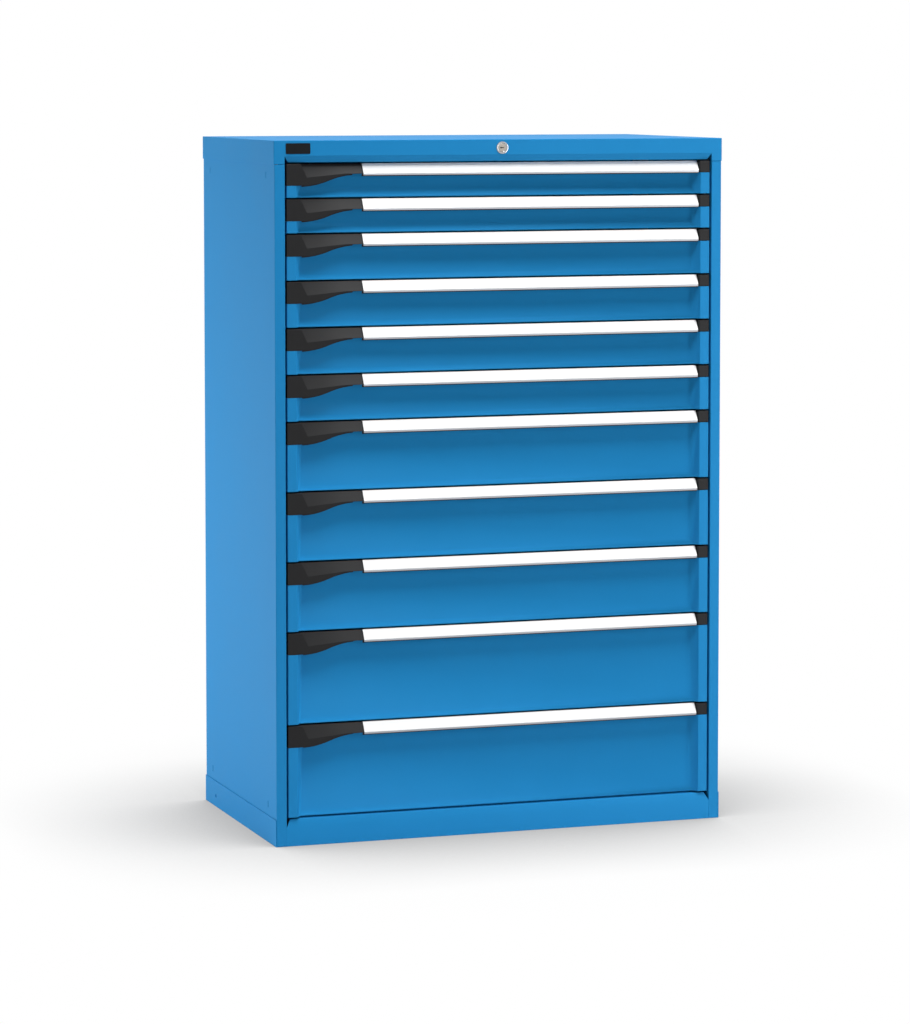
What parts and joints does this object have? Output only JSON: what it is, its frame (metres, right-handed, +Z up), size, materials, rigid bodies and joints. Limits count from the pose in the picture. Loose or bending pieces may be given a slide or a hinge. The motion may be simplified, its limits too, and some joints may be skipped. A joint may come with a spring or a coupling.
{
  "type": "drawer cabinet",
  "caption": "Floor-standing workshop cabinet of folded sheet steel with full-width drawers on roller slides, pull bars with side grips and latches, and a central lock.",
  "frame": {"origin": "on the floor, in the middle of the cabinet's outline", "axes": "+X to the right seen from the front, +Y to the back, +Z up; the drawers open towards -Y"},
  "size_m": [1.023, 0.5734, 1.508],
  "materials": {
    "housing_paint": "satin powder coat, mid blue",
    "drawer_paint": "satin powder coat, mid blue",
    "bar_aluminium": "bright satin anodised extrusion; its label strip is white and the strip behind it black",
    "grip_black": "moulded black plastic, fine grain",
    "zinc_steel": "zinc-plated sheet and rollers",
    "lock_chrome": "polished chrome ring",
    "lock_face": "satin nickel plug face",
    "black_plate": "smooth black plate"
  },
  "bodies": {
    "housing": {"left_side_panel": "housing_paint", "right_side_panel": "housing_paint", "back_panel": "housing_paint", "top_cover": "housing_paint", "base_plinth": "housing_paint", "bottom_pan": "housing_paint", "rail_uprights": "zinc_steel", "fixed_rails": "zinc_steel", "badge_plate": "black_plate", "lock_barrel": "lock_chrome", "bar_guides": "zinc_steel"},
    "lock_core": {"lock_plug": "lock_face", "lock_cam": "zinc_steel"},
    "lock_rod": {"lock_rod": "zinc_steel"},
    "locking_bar": {"locking_bar": "zinc_steel"},
    "drawer_01": {"drawer_01_tray": "drawer_paint", "drawer_01_handle": "bar_aluminium"},
    "carriage_01": {"drawer_01_carriages": "zinc_steel"},
    "latch_01": {"drawer_01_latch": "grip_black"},
    "drawer_02": {"drawer_02_tray": "drawer_paint", "drawer_02_handle": "bar_aluminium"},
    "carriage_02": {"drawer_02_carriages": "zinc_steel"},
    "latch_02": {"drawer_02_latch": "grip_black"},
    "drawer_03": {"drawer_03_tray": "drawer_paint", "drawer_03_handle": "bar_aluminium"},
    "carriage_03": {"drawer_03_carriages": "zinc_steel"},
    "latch_03": {"drawer_03_latch": "grip_black"},
    "drawer_04": {"drawer_04_tray": "drawer_paint", "drawer_04_handle": "bar_aluminium"},
    "carriage_04": {"drawer_04_carriages": "zinc_steel"},
    "latch_04": {"drawer_04_latch": "grip_black"},
    "drawer_05": {"drawer_05_tray": "drawer_paint", "drawer_05_handle": "bar_aluminium"},
    "carriage_05": {"drawer_05_carriages": "zinc_steel"},
    "latch_05": {"drawer_05_latch": "grip_black"},
    "drawer_06": {"drawer_06_tray": "drawer_paint", "drawer_06_handle": "bar_aluminium"},
    "carriage_06": {"drawer_06_carriages": "zinc_steel"},
    "latch_06": {"drawer_06_latch": "grip_black"},
    "drawer_07": {"drawer_07_tray": "drawer_paint", "drawer_07_handle": "bar_aluminium"},
    "carriage_07": {"drawer_07_carriages": "zinc_steel"},
    "latch_07": {"drawer_07_latch": "grip_black"},
    "drawer_08": {"drawer_08_tray": "drawer_paint", "drawer_08_handle": "bar_aluminium"},
    "carriage_08": {"drawer_08_carriages": "zinc_steel"},
    "latch_08": {"drawer_08_latch": "grip_black"},
    "drawer_09": {"drawer_09_tray": "drawer_paint", "drawer_09_handle": "bar_aluminium"},
    "carriage_09": {"drawer_09_carriages": "zinc_steel"},
    "latch_09": {"drawer_09_latch": "grip_black"},
    "drawer_10": {"drawer_10_tray": "drawer_paint", "drawer_10_handle": "bar_aluminium"},
    "carriage_10": {"drawer_10_carriages": "zinc_steel"},
    "latch_10": {"drawer_10_latch": "grip_black"},
    "drawer_11": {"drawer_11_tray": "drawer_paint", "drawer_11_handle": "bar_aluminium"},
    "carriage_11": {"drawer_11_carriages": "zinc_steel"},
    "latch_11": {"drawer_11_latch": "grip_black"}
  },
  "joints": [
    {"name": "drawer_01_slide", "type": "slide", "parent": "housing", "child": "drawer_01", "axis": [0, -1, 0], "range_m": [0, 0.46]},
    {"name": "carriage_01_slide", "type": "slide", "parent": "housing", "child": "carriage_01", "axis": [0, -1, 0], "range_m": [0, 0.23]},
    {"name": "latch_01_hinge", "type": "hinge", "parent": "drawer_01", "child": "latch_01", "pos_m": [-0.39075, -0.27285, 1.4453], "axis": [1, 0, 0], "range_deg": [0, 12], "stiffness_Nm_per_rad": 0.4, "springref_deg": -5.73},
    {"name": "drawer_02_slide", "type": "slide", "parent": "housing", "child": "drawer_02", "axis": [0, -1, 0], "range_m": [0, 0.46]},
    {"name": "carriage_02_slide", "type": "slide", "parent": "housing", "child": "carriage_02", "axis": [0, -1, 0], "range_m": [0, 0.23]},
    {"name": "latch_02_hinge", "type": "hinge", "parent": "drawer_02", "child": "latch_02", "pos_m": [-0.39075, -0.27285, 1.3703], "axis": [1, 0, 0], "range_deg": [0, 12], "stiffness_Nm_per_rad": 0.4, "springref_deg": -5.73},
    {"name": "drawer_03_slide", "type": "slide", "parent": "housing", "child": "drawer_03", "axis": [0, -1, 0], "range_m": [0, 0.46]},
    {"name": "carriage_03_slide", "type": "slide", "parent": "housing", "child": "carriage_03", "axis": [0, -1, 0], "range_m": [0, 0.23]},
    {"name": "latch_03_hinge", "type": "hinge", "parent": "drawer_03", "child": "latch_03", "pos_m": [-0.39075, -0.27285, 1.2953], "axis": [1, 0, 0], "range_deg": [0, 12], "stiffness_Nm_per_rad": 0.4, "springref_deg": -5.73},
    {"name": "drawer_04_slide", "type": "slide", "parent": "housing", "child": "drawer_04", "axis": [0, -1, 0], "range_m": [0, 0.46]},
    {"name": "carriage_04_slide", "type": "slide", "parent": "housing", "child": "carriage_04", "axis": [0, -1, 0], "range_m": [0, 0.23]},
    {"name": "latch_04_hinge", "type": "hinge", "parent": "drawer_04", "child": "latch_04", "pos_m": [-0.39075, -0.27285, 1.1953], "axis": [1, 0, 0], "range_deg": [0, 12], "stiffness_Nm_per_rad": 0.4, "springref_deg": -5.73},
    {"name": "drawer_05_slide", "type": "slide", "parent": "housing", "child": "drawer_05", "axis": [0, -1, 0], "range_m": [0, 0.46]},
    {"name": "carriage_05_slide", "type": "slide", "parent": "housing", "child": "carriage_05", "axis": [0, -1, 0], "range_m": [0, 0.23]},
    {"name": "latch_05_hinge", "type": "hinge", "parent": "drawer_05", "child": "latch_05", "pos_m": [-0.39075, -0.27285, 1.0953], "axis": [1, 0, 0], "range_deg": [0, 12], "stiffness_Nm_per_rad": 0.4, "springref_deg": -5.73},
    {"name": "drawer_06_slide", "type": "slide", "parent": "housing", "child": "drawer_06", "axis": [0, -1, 0], "range_m": [0, 0.46]},
    {"name": "carriage_06_slide", "type": "slide", "parent": "housing", "child": "carriage_06", "axis": [0, -1, 0], "range_m": [0, 0.23]},
    {"name": "latch_06_hinge", "type": "hinge", "parent": "drawer_06", "child": "latch_06", "pos_m": [-0.39075, -0.27285, 0.9953], "axis": [1, 0, 0], "range_deg": [0, 12], "stiffness_Nm_per_rad": 0.4, "springref_deg": -5.73},
    {"name": "drawer_07_slide", "type": "slide", "parent": "housing", "child": "drawer_07", "axis": [0, -1, 0], "range_m": [0, 0.46]},
    {"name": "carriage_07_slide", "type": "slide", "parent": "housing", "child": "carriage_07", "axis": [0, -1, 0], "range_m": [0, 0.23]},
    {"name": "latch_07_hinge", "type": "hinge", "parent": "drawer_07", "child": "latch_07", "pos_m": [-0.39075, -0.27285, 0.8953], "axis": [1, 0, 0], "range_deg": [0, 12], "stiffness_Nm_per_rad": 0.4, "springref_deg": -5.73},
    {"name": "drawer_08_slide", "type": "slide", "parent": "housing", "child": "drawer_08", "axis": [0, -1, 0], "range_m": [0, 0.46]},
    {"name": "carriage_08_slide", "type": "slide", "parent": "housing", "child": "carriage_08", "axis": [0, -1, 0], "range_m": [0, 0.23]},
    {"name": "latch_08_hinge", "type": "hinge", "parent": "drawer_08", "child": "latch_08", "pos_m": [-0.39075, -0.27285, 0.7453], "axis": [1, 0, 0], "range_deg": [0, 12], "stiffness_Nm_per_rad": 0.4, "springref_deg": -5.73},
    {"name": "drawer_09_slide", "type": "slide", "parent": "housing", "child": "drawer_09", "axis": [0, -1, 0], "range_m": [0, 0.46]},
    {"name": "carriage_09_slide", "type": "slide", "parent": "housing", "child": "carriage_09", "axis": [0, -1, 0], "range_m": [0, 0.23]},
    {"name": "latch_09_hinge", "type": "hinge", "parent": "drawer_09", "child": "latch_09", "pos_m": [-0.39075, -0.27285, 0.5953], "axis": [1, 0, 0], "range_deg": [0, 12], "stiffness_Nm_per_rad": 0.4, "springref_deg": -5.73},
    {"name": "drawer_10_slide", "type": "slide", "parent": "housing", "child": "drawer_10", "axis": [0, -1, 0], "range_m": [0, 0.46]},
    {"name": "carriage_10_slide", "type": "slide", "parent": "housing", "child": "carriage_10", "axis": [0, -1, 0], "range_m": [0, 0.23]},
    {"name": "latch_10_hinge", "type": "hinge", "parent": "drawer_10", "child": "latch_10", "pos_m": [-0.39075, -0.27285, 0.4453], "axis": [1, 0, 0], "range_deg": [0, 12], "stiffness_Nm_per_rad": 0.4, "springref_deg": -5.73},
    {"name": "drawer_11_slide", "type": "slide", "parent": "housing", "child": "drawer_11", "axis": [0, -1, 0], "range_m": [0, 0.46]},
    {"name": "carriage_11_slide", "type": "slide", "parent": "housing", "child": "carriage_11", "axis": [0, -1, 0], "range_m": [0, 0.23]},
    {"name": "latch_11_hinge", "type": "hinge", "parent": "drawer_11", "child": "latch_11", "pos_m": [-0.39075, -0.27285, 0.2453], "axis": [1, 0, 0], "range_deg": [0, 12], "stiffness_Nm_per_rad": 0.4, "springref_deg": -5.73},
    {"name": "lock_turn", "type": "hinge", "parent": "housing", "child": "lock_core", "pos_m": [0, -0.28525, 1.49], "axis": [0, 1, 0], "range_deg": [0, 90]},
    {"name": "lock_rod_slide", "type": "slide", "parent": "housing", "child": "lock_rod", "axis": [-1, 0, 0], "range_m": [0, 0.01697]},
    {"name": "locking_bar_lift", "type": "slide", "parent": "housing", "child": "locking_bar", "axis": [0, 0, 1], "range_m": [0, 0.01697]}
  ],
  "couplings": [
    {"joint": "carriage_01_slide", "follows": "drawer_01_slide", "ratio": 0.5},
    {"joint": "carriage_02_slide", "follows": "drawer_02_slide", "ratio": 0.5},
    {"joint": "carriage_03_slide", "follows": "drawer_03_slide", "ratio": 0.5},
    {"joint": "carriage_04_slide", "follows": "drawer_04_slide", "ratio": 0.5},
    {"joint": "carriage_05_slide", "follows": "drawer_05_slide", "ratio": 0.5},
    {"joint": "carriage_06_slide", "follows": "drawer_06_slide", "ratio": 0.5},
    {"joint": "carriage_07_slide", "follows": "drawer_07_slide", "ratio": 0.5},
    {"joint": "carriage_08_slide", "follows": "drawer_08_slide", "ratio": 0.5},
    {"joint": "carriage_09_slide", "follows": "drawer_09_slide", "ratio": 0.5},
    {"joint": "carriage_10_slide", "follows": "drawer_10_slide", "ratio": 0.5},
    {"joint": "carriage_11_slide", "follows": "drawer_11_slide", "ratio": 0.5},
    {"joint": "lock_rod_slide", "follows": "locking_bar_lift", "ratio": 1},
    {"joint": "lock_turn", "follows": "locking_bar_lift", "rad_per_m": 92.56}
  ]
}
